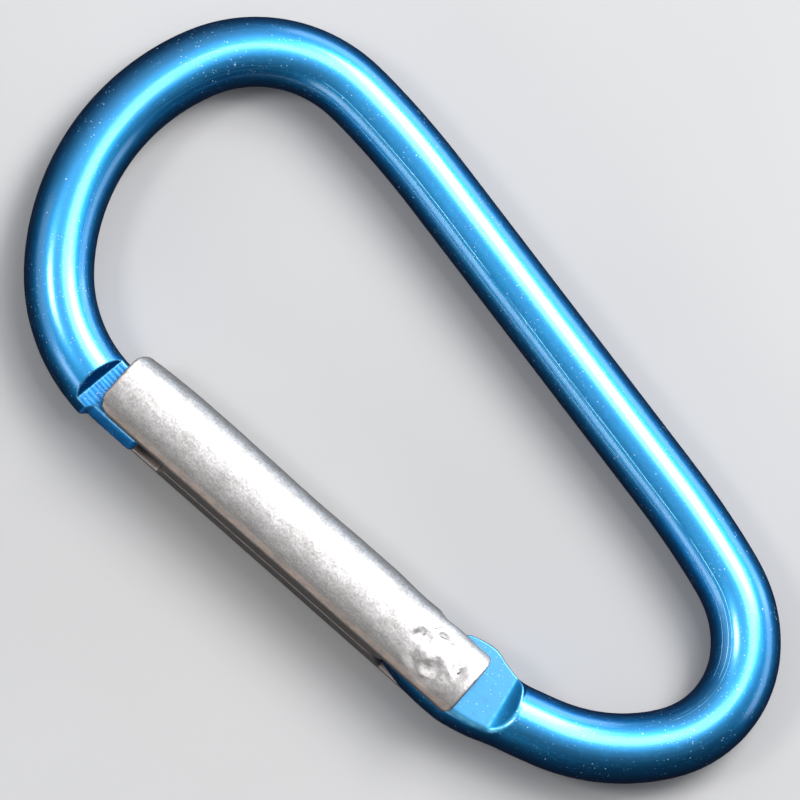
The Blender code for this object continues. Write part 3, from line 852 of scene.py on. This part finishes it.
def blended(tree, share, first, second):
    """Mix of two colours."""
    made = add(tree, "ShaderNodeMix", {}, data_type="RGBA", clamp_factor=True)
    put(tree, made.inputs[0], share)
    put(tree, made.inputs[6], first)
    put(tree, made.inputs[7], second)
    return made.outputs[2]


def ramp(tree, value, stops):
    made = add(tree, "ShaderNodeValToRGB", {"Fac": value})
    elements = made.color_ramp.elements
    while len(elements) < len(stops):
        elements.new(1.0)
    for element, (position, color) in zip(elements, stops):
        element.position = position
        element.color = (*color, 1.0)
    return made.outputs["Color"]


def raised(tree, height, depth_mm):
    """A bump whose full height stands for this depth."""
    inputs = {"Height": height, "Distance": depth_mm * MM, "Strength": 1.0}
    return add(tree, "ShaderNodeBump", inputs).outputs["Normal"]


def new_material(name):
    material = bpy.data.materials.new(name)
    material.use_nodes = True
    return material, material.node_tree, material.node_tree.nodes["Principled BSDF"]


def dress(tree, shader, **surface):
    """Sets the shader's inputs, whose names are written with _ for each space."""
    for name, value in surface.items():
        put(tree, shader.inputs[name.replace("_", " ")], value)


def object_mm(tree):
    """The gate frame's coordinates in mm."""
    place = add(tree, "ShaderNodeTexCoord", {}).outputs["Object"]
    inputs = {"Vector": place, "Center": GATE.translation, "Angle": -GATE_TILT}
    turned = add(tree, "ShaderNodeVectorRotate", inputs, rotation_type="Z_AXIS").outputs["Vector"]
    inputs = {0: turned, 1: GATE.translation}
    from_pivot = add(tree, "ShaderNodeVectorMath", inputs, operation="SUBTRACT").outputs[0]
    return scaled(tree, from_pivot, (1 / MM,) * 3)


def red_of(tree, color):
    return add(tree, "ShaderNodeSeparateColor", {0: color}).outputs[0]


def specks(tree, vector, per_mm, radius, share):
    """Scattered dots of this radius in mm, on this share of the cells."""
    cells = add(tree, "ShaderNodeTexVoronoi", {"Vector": vector, "Scale": per_mm, "Randomness": 1.0})
    pick = red_of(tree, cells.outputs["Color"])
    dot = ranged(tree, cells.outputs["Distance"], 0.5 * radius * per_mm, radius * per_mm, 1.0, 0.0)
    return maths(tree, "MULTIPLY", dot, ranged(tree, pick, 0.3 * share, share, 1.0, 0.0))


def drawn_lines(tree, straight):
    """Long thin lines that the die left along the inner side of the bar."""
    across = add(tree, "ShaderNodeSeparateXYZ", {0: straight}).outputs["Y"]
    slow = grain(tree, scaled(tree, straight, (0.07, 0.0, 0.0)), 1.0, 1.0)
    across = maths(tree, "ADD", across, ranged(tree, slow, 0.0, 1.0, -0.15, 0.15))
    lines = None
    for offset, width in DIE_LINES:
        away = maths(tree, "ABSOLUTE", maths(tree, "SUBTRACT", across, offset))
        line = ranged(tree, away, 0.4 * width, width, 1.0, 0.0)
        lines = maths(tree, "MAXIMUM", lines, line) if lines else line
    kept = grain(tree, scaled(tree, straight, (0.2, 0.9, 0.0)), 1.0, 2.0)
    lines = maths(tree, "MULTIPLY", lines, ranged(tree, kept, 0.40, 0.48, 0.0, 1.0))
    place = add(tree, "ShaderNodeSeparateXYZ", {0: straight}).outputs["X"]
    from_middle = maths(tree, "ABSOLUTE", maths(tree, "SUBTRACT", place, SPINE_MIDDLE))
    return maths(tree, "MULTIPLY", lines, ranged(tree, from_middle, 20.0, 30.0, 1.0, 0.15))


# The dye's colour, darkened by how far the surface turns away from the eye as painted shade at the rod's
# rims, then its other colours
DYE_WITH_PAINTED_RIM_SHADE = (
    (0.0, (0.014, 0.310, 0.660)),
    (0.35, (0.008, 0.255, 0.600)),
    (0.62, (0.004, 0.150, 0.420)),
    (0.84, (0.002, 0.070, 0.240)),
    (1.0, (0.001, 0.020, 0.090)),
)
CLOUDY_DYE = (0.004, 0.22, 0.6, 1)
SHIMMER_DYE = (0.004, 0.25, 0.60, 1)
MILLED_DYE = (0.001, 0.09, 0.30, 1)
PAINTED_LIGHT_TONGUE_SIDE_DYE = (0.01, 0.30, 0.85, 1)
FROSTED_DYE = (0.035, 0.145, 0.25, 1)
RUBBED_DYE_AND_EDGE_HIGHLIGHT = (0.22, 0.75, 0.98, 1)
DUST_COLOR = (0.72, 0.86, 0.96, 1)
OXIDE_TINT = (0.05, 0.16, 0.4, 1)
OXIDE_IOR = 1.72
ROD_BUMP = 0.012  # mm


def worked_dye(tree, straight, flat, color):
    """The dye on the milled nose, with painted light brightening the tongue's side, and on the pressed
    tang, and how milled and side-on a place is.
    """
    along_rod = add(tree, "ShaderNodeSeparateXYZ", {0: straight}).outputs["X"]
    streaks = grain(tree, scaled(tree, straight, (1.0, 4.0, 1.0)), 0.8)
    milled = maths(tree, "LESS_THAN", along_rod, NOSE_RAMP[1])
    milled = maths(tree, "MULTIPLY", milled, ranged(tree, streaks, 0.3, 0.7, 0.9, 0.5))
    color = blended(tree, maths(tree, "MULTIPLY", milled, flat), color, MILLED_DYE)
    side = maths(tree, "MULTIPLY", milled, maths(tree, "SUBTRACT", 1.0, flat))
    is_tongue = maths(tree, "LESS_THAN", along_rod, TONGUE_LENGTH + TONGUE_STEP)
    side = maths(tree, "MULTIPLY", side, is_tongue)
    # painted light: a brighter blue on the tongue's side
    color = blended(tree, side, color, PAINTED_LIGHT_TONGUE_SIDE_DYE)
    is_tang = maths(tree, "GREATER_THAN", along_rod, PATH_LENGTH - TANG_RAMP[0])
    frost = ranged(tree, grain(tree, straight, 1.6, 4.0, 0.7), 0.35, 0.7, 0.8, 1.0)
    frosted = maths(tree, "MULTIPLY", maths(tree, "MULTIPLY", flat, is_tang), frost)
    return blended(tree, frosted, color, FROSTED_DYE), milled, side


def dust_and_pits(tree, straight):
    """Dust in loose crowds, small pits, and ragged nicks in the oxide."""
    crowd = ranged(tree, grain(tree, straight, 0.28, 2.0), 0.36, 0.56, 0.12, 1.0)
    dust = maths(tree, "MULTIPLY", specks(tree, straight, 4.6, 0.040, 0.8), crowd)
    pits = specks(tree, straight, 1.7, 0.062, 0.35)
    nicks = ranged(tree, grain(tree, straight, 1.7, 6.0, 0.75), 0.70, 0.74, 0.0, 1.0)
    return maths(tree, "MAXIMUM", maths(tree, "MAXIMUM", dust, pits), nicks)


def anodised_material():
    """Clear dyed oxide over drawn bar: painted shade deepens the blue at grazing angles; pitted, faintly
    lined.
    """
    material, tree, shader = new_material("blue_anodised")
    straight = add(tree, "ShaderNodeAttribute", {}, attribute_name="straight").outputs["Vector"]
    worked = add(tree, "ShaderNodeAttribute", {}, attribute_name="worked_edge").outputs["Fac"]
    flat = add(tree, "ShaderNodeAttribute", {}, attribute_name="worked_flat").outputs["Fac"]
    facing = add(tree, "ShaderNodeLayerWeight", {"Blend": 0.5}).outputs["Facing"]
    # painted shade: the base colour darkens towards the rims as the surface turns away from the eye
    color = ramp(tree, facing, DYE_WITH_PAINTED_RIM_SHADE)
    cloud = grain(tree, straight, 0.35, 4.0)
    color = blended(tree, ranged(tree, cloud, 0.4, 0.7, 0.0, 0.3), color, CLOUDY_DYE)
    color, milled, side = worked_dye(tree, straight, flat, color)
    shimmer = ranged(tree, grain(tree, straight, 8.0, 2.0, 0.6), 0.3, 0.7, 0.0, 0.35)
    color = blended(tree, shimmer, color, SHIMMER_DYE)

    marks = dust_and_pits(tree, straight)
    lines = grain(tree, scaled(tree, straight, (0.05, 5.0, 5.0)), 1.0, 2.0)
    drawn = drawn_lines(tree, straight)
    # rubbed edges: partly wear of the oxide, partly a painted highlight along the worked edges
    rub_and_edge_highlight = ranged(tree, grain(tree, straight, 3.0), 0.3, 0.6, 0.25, 0.9)
    rub_and_edge_highlight = maths(tree, "MULTIPLY", maths(tree, "POWER", worked, 1.5), rub_and_edge_highlight)
    bare_and_edge_highlight = maths(tree, "MAXIMUM", maths(tree, "MULTIPLY", rub_and_edge_highlight, 0.8), maths(tree, "MULTIPLY", drawn, 0.8))
    color = blended(tree, bare_and_edge_highlight, color, RUBBED_DYE_AND_EDGE_HIGHLIGHT)
    color = blended(tree, maths(tree, "MULTIPLY", marks, 0.7), color, DUST_COLOR)
    # dust, and the tongue's side made less metallic so that it takes more light
    dust_and_lit_tongue_side = maths(tree, "MAXIMUM", maths(tree, "MULTIPLY", marks, 0.8), maths(tree, "MULTIPLY", side, 0.5))
    dress(tree, shader, Base_Color=color, Metallic=maths(tree, "SUBTRACT", 1.0, dust_and_lit_tongue_side))

    scuff = ranged(tree, grain(tree, straight, 2.6, 4.0, 0.7), 0.5, 0.75, 0.0, 0.1)
    rough = maths(tree, "ADD", ranged(tree, lines, 0.3, 0.7, 0.36, 0.42), scuff)
    rough = maths(tree, "ADD", rough, maths(tree, "MULTIPLY", maths(tree, "MAXIMUM", marks, bare_and_edge_highlight), 0.25))
    rough = maths(tree, "ADD", rough, maths(tree, "MULTIPLY", milled, 0.14))
    dress(tree, shader, Roughness=rough, Specular_Tint=OXIDE_TINT, Coat_IOR=OXIDE_IOR)
    coat = ranged(tree, flat, 0.0, 1.0, 1.0, 0.35)
    dress(tree, shader, Coat_Weight=coat, Coat_Roughness=ranged(tree, cloud, 0.3, 0.7, 0.16, 0.22))

    plain = maths(tree, "SUBTRACT", 1.0, maths(tree, "MULTIPLY", flat, 0.8))
    height = maths(tree, "MULTIPLY", maths(tree, "MULTIPLY", lines, 0.05), plain)
    height = maths(tree, "ADD", height, maths(tree, "MULTIPLY", shimmer, 0.12))
    sunk = maths(tree, "MAXIMUM", maths(tree, "MULTIPLY", marks, 0.5), drawn)
    normal = raised(tree, maths(tree, "SUBTRACT", height, sunk), ROD_BUMP)
    dress(tree, shader, Normal=normal, Coat_Normal=normal)
    return material


# The bare sheet from its dull spots to its bright ones, then its other colours
SHEET_MOTTLE = (
    (0.34, (0.23, 0.222, 0.220)),
    (0.46, (0.32, 0.312, 0.311)),
    (0.54, (0.39, 0.385, 0.385)),
    (0.66, (0.49, 0.488, 0.492)),
)
SCRATCH_COLOR = (0.36, 0.36, 0.375, 1)
PAINTED_SHADE_COLOR = (0.075, 0.069, 0.067, 1)
STAIN_COLOR = (0.44, 0.345, 0.29, 1)
PAINTED_SHADE_UP_TO = 1.2  # the painted shade ends at this height, mm
SHEET_METALLIC = 0.8
SHEET_BUMP = 0.022  # mm
RIVET_MOTTLE = (
    (0.3, (0.27, 0.26, 0.257)),
    (0.5, (0.41, 0.40, 0.398)),
    (0.7, (0.56, 0.555, 0.56)),
)
RIVET_BUMP = 0.03
STEEL_BUMP = 0.006


def worn_edges(tree, place):
    """Where the folds and the nose end have taken on a faint warm stain."""
    axes = add(tree, "ShaderNodeSeparateXYZ", {0: place})
    from_fold = maths(tree, "SUBTRACT", axes.outputs["Y"], UNDERSIDE + FOLD_RADIUS / 2)
    from_fold = maths(tree, "ABSOLUTE", from_fold)
    fold = ranged(tree, from_fold, 0.05, 0.34, 0.6, 0.0)
    end = ranged(tree, axes.outputs["X"], SLEEVE_ENDS[0], SLEEVE_ENDS[0] + 0.25, 0.5, 0.0)
    patchy = ranged(tree, grain(tree, place, 1.2), 0.3, 0.6, 0.4, 1.0)
    return maths(tree, "MULTIPLY", maths(tree, "MAXIMUM", fold, end), patchy)


def painted_fold_shade(tree, place, color):
    """Painted shade: the gate's walls are darker towards the fold; the darkening fades out again on the
    underside.
    """
    up = add(tree, "ShaderNodeSeparateXYZ", {0: place}).outputs["Y"]
    walls = ranged(tree, up, UNDERSIDE, PAINTED_SHADE_UP_TO, 0.95, 0.0)
    fold = ranged(tree, up, UNDERSIDE + 0.1, UNDERSIDE + FOLD_RADIUS, 0.25, 1.0)
    return blended(tree, maths(tree, "MINIMUM", walls, fold), color, PAINTED_SHADE_COLOR)


def sheet_material():
    """Bare tumbled aluminium: satin, mottled, with dull specks and fine random scratches."""
    material, tree, shader = new_material("tumbled_aluminium")
    place = object_mm(tree)
    coarse = grain(tree, scaled(tree, place, (0.6, 1.0, 1.0)), 1.5, 5.0, 0.7)
    fine = grain(tree, place, 5.5, 4.0, 0.7)
    mottle = maths(tree, "ADD", maths(tree, "MULTIPLY", coarse, 0.4), maths(tree, "MULTIPLY", fine, 0.6))
    color = ramp(tree, mottle, SHEET_MOTTLE)
    scratch = grain(tree, scaled(tree, place, (0.6, 9.0, 9.0)), 1.0, 3.0, 0.6)
    color = blended(tree, ranged(tree, scratch, 0.62, 0.72, 0.0, 0.4), color, SCRATCH_COLOR)
    # painted shade darkening the walls towards the fold
    color = painted_fold_shade(tree, place, color)
    color = blended(tree, worn_edges(tree, place), color, STAIN_COLOR)
    rough = ranged(tree, mottle, 0.35, 0.65, 0.50, 0.42)
    height = maths(tree, "ADD", mottle, maths(tree, "MULTIPLY", scratch, 0.2))
    normal = raised(tree, height, SHEET_BUMP)
    dress(tree, shader, Base_Color=color, Metallic=SHEET_METALLIC, Roughness=rough, Normal=normal)
    return material


def rivet_material():
    """Aluminium planished by the hammer: brighter and smoother than the sheet."""
    material, tree, shader = new_material("peened_aluminium")
    place = object_mm(tree)
    mottle = grain(tree, place, 2.6, 5.0, 0.65)
    color = ramp(tree, mottle, RIVET_MOTTLE)
    # painted shade darkening the rivet towards the fold, as on the sheet
    color = painted_fold_shade(tree, place, color)
    rough = ranged(tree, mottle, 0.3, 0.7, 0.46, 0.38)
    normal = raised(tree, mottle, RIVET_BUMP)
    dress(tree, shader, Base_Color=color, Metallic=SHEET_METALLIC, Roughness=rough, Normal=normal)
    return material


def wire_material():
    """Cold drawn spring steel."""
    material, tree, shader = new_material("spring_steel")
    place = object_mm(tree)
    mottle = grain(tree, place, 4.0, 4.0)
    color = ramp(tree, mottle, ((0.3, (0.24, 0.24, 0.25)), (0.7, (0.5, 0.5, 0.52))))
    rough = ranged(tree, mottle, 0.3, 0.7, 0.38, 0.26)
    normal = raised(tree, mottle, STEEL_BUMP)
    dress(tree, shader, Base_Color=color, Metallic=1.0, Roughness=rough, Normal=normal)
    return material


def pin_material():
    """Turned steel: fine rings from the lathe."""
    material, tree, shader = new_material("turned_steel")
    place = object_mm(tree)
    rings = grain(tree, scaled(tree, place, (9.0, 0.3, 0.3)), 1.0, 2.0)
    color = ramp(tree, rings, ((0.3, (0.42, 0.42, 0.43)), (0.7, (0.62, 0.62, 0.63))))
    rough = ranged(tree, rings, 0.3, 0.7, 0.22, 0.34)
    normal = raised(tree, rings, STEEL_BUMP)
    dress(tree, shader, Base_Color=color, Metallic=1.0, Roughness=rough, Normal=normal)
    return material


def floor_material():
    material, tree, shader = new_material("pale_floor")
    mottle = grain(tree, object_mm(tree), 0.02, 3.0)
    color = ramp(tree, mottle, ((0.3, (0.38, 0.38, 0.385)), (0.7, (0.41, 0.41, 0.415))))
    dress(tree, shader, Base_Color=color, Roughness=0.9, Specular_IOR_Level=0.15)
    return material


# ---------------------------------------------------------------- the set

RING_MIDDLE = (CAD_BOX[0] + CAD_BOX[1]) / 2
# The camera stands over the ring, tipped a little towards the gate's outer side.
CAMERA_TILT = math.radians(10.0)
CAMERA_TARGET = RING_MIDDLE + Vector((-1.54, 2.32, 0.0)) * MM
VIEW_WIDTH = 52.8 * MM
LENS = 500.0
SENSOR = 36.0
GATE_TURN_IN_VIEW = math.radians(-41.44)  # the gate runs down to the right by this angle

# Softboxes: direction from the ring, turn about it, distance, width and height, radiance, colour
SOFTBOXES = {
    "key": ((-0.04, 0.65, 0.76), -39.5, 0.36, (0.20, 0.14), 17.0, (1.0, 0.99, 0.98)),
    "soft": ((0.0, 0.36, 0.93), 0.0, 0.38, (0.22, 0.16), 6.4, (1.0, 1.0, 1.0)),
    "second": ((-0.42, -0.42, 0.80), 0.0, 0.60, (0.14, 0.14), 20.0, (1.0, 0.99, 0.98)),
    "rim": ((-0.13, 0.96, 0.20), 0.0, 0.40, (0.50, 0.14), 3.0, (0.76, 0.88, 1.0)),
    "right": ((0.63, 0.74, 0.22), 0.0, 0.40, (0.36, 0.14), 2.0, (0.90, 0.95, 1.0)),
    "left": ((-0.57, -0.75, 0.32), 0.0, 0.40, (0.40, 0.20), 0.9, (0.92, 0.96, 1.0)),
    "low": ((0.05, -0.93, 0.36), 0.0, 0.40, (0.30, 0.10), 3.5, (1.0, 0.96, 0.93)),
}
LIT_FROM = Vector((-0.34, 0.26, 0.90))
# Radiance of the room by the cosine of the angle from there, mapped to 0..1
ROOM_GLOW = (
    (0.0, (0.020, 0.022, 0.028)),
    (0.45, (0.040, 0.044, 0.055)),
    (0.62, (0.10, 0.105, 0.12)),
    (0.80, (0.30, 0.31, 0.32)),
    (0.93, (0.70, 0.71, 0.73)),
    (1.0, (0.98, 1.00, 1.02)),
)
FLOOR_GAP = 0.05 * MM
FLOOR_SIZE = 3.0
EXPOSURE = -0.2


def view_axes():
    """The camera's right, up and back directions in the world."""
    across = Vector((-GATE_ALONG.y, GATE_ALONG.x, 0))
    back = (Vector((0, 0, 1)) * math.cos(CAMERA_TILT) - across * math.sin(CAMERA_TILT)).normalized()
    side = (across - back * across.dot(back)).normalized()
    turn = GATE_TURN_IN_VIEW
    right = GATE_ALONG * math.cos(turn) - side * math.sin(turn)
    return right, back.cross(right), back


def make_camera():
    right, up, back = view_axes()
    data = bpy.data.cameras.new("camera")
    data.lens = LENS
    data.sensor_width = SENSOR
    data.clip_start = 0.01
    data.clip_end = 10.0
    camera = bpy.data.objects.new("camera", data)
    bpy.context.scene.collection.objects.link(camera)
    distance = VIEW_WIDTH * LENS / SENSOR
    rotation = Matrix((right, up, back)).transposed().to_4x4()
    camera.matrix_world = Matrix.Translation(CAMERA_TARGET + back * distance) @ rotation
    bpy.context.scene.camera = camera


def make_softbox(name, direction, turn, distance, size, radiance, color):
    data = bpy.data.lights.new(name, "AREA")
    data.shape = "RECTANGLE"
    data.size, data.size_y = size
    data.energy = radiance * math.pi * size[0] * size[1]
    data.color = color
    light = bpy.data.objects.new(name, data)
    bpy.context.scene.collection.objects.link(light)
    light.visible_camera = False
    direction = Vector(direction).normalized()
    light.location = RING_MIDDLE + direction * distance
    facing = direction.to_track_quat("Z", "Y") @ Quaternion((0, 0, 1), math.radians(turn))
    light.rotation_euler = facing.to_euler()


def make_floor():
    mesh_data = bmesh.new()
    bmesh.ops.create_grid(mesh_data, x_segments=8, y_segments=8, size=FLOOR_SIZE / 2)
    mesh = bpy.data.meshes.new("floor")
    mesh_data.to_mesh(mesh)
    mesh_data.free()
    mesh.materials.append(floor_material())
    floor = bpy.data.objects.new("floor", mesh)
    bpy.context.scene.collection.objects.link(floor)
    floor.location.z = CAD_BOX[0].z - FLOOR_GAP
    floor.visible_glossy = False


def make_world():
    """A dim room, lighter overhead and to the left, that the camera sees as a plain pale wall."""
    world = bpy.data.worlds.new("studio")
    bpy.context.scene.world = world
    world.use_nodes = True
    tree = world.node_tree
    background = tree.nodes["Background"]
    towards = add(tree, "ShaderNodeTexCoord", {}).outputs["Generated"]
    inputs = {0: towards, 1: LIT_FROM.normalized()}
    share = add(tree, "ShaderNodeVectorMath", inputs, operation="DOT_PRODUCT").outputs["Value"]
    glow = ramp(tree, ranged(tree, share, -1.0, 1.0, 0.0, 1.0), ROOM_GLOW)
    is_seen = add(tree, "ShaderNodeLightPath", {}).outputs["Is Camera Ray"]
    put(tree, background.inputs["Color"], blended(tree, is_seen, glow, (0.75, 0.75, 0.76, 1)))


def make_set():
    make_camera()
    make_floor()
    make_world()
    for name, settings in SOFTBOXES.items():
        make_softbox(name, *settings)
    bpy.context.scene.view_settings.view_transform = "Standard"
    bpy.context.scene.view_settings.exposure = EXPOSURE


# ---------------------------------------------------------------- assembly


def finish_piece(piece, node, body, material):
    piece.data.transform(GATE)
    piece.data.materials.clear()
    piece.data.materials.append(material)
    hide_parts(node)
    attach(piece, body)


def main():
    finish_piece(make_rod(), "frame_rod", "frame", anodised_material())
    finish_piece(make_sleeve(), "gate_sleeve", "gate", sheet_material())
    finish_piece(make_rivet(), "pivot_rivet", "gate", rivet_material())
    finish_piece(make_pin(), "push_pin", "pin", pin_material())
    seat = SEAT_SPAN[1] + 0.1
    rest_end = PIN_BACK - 0.1
    spring = make_spring(seat, rest_end)
    finish_piece(spring, "return_spring", "gate", wire_material())
    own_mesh(spring)
    make_set()


main()
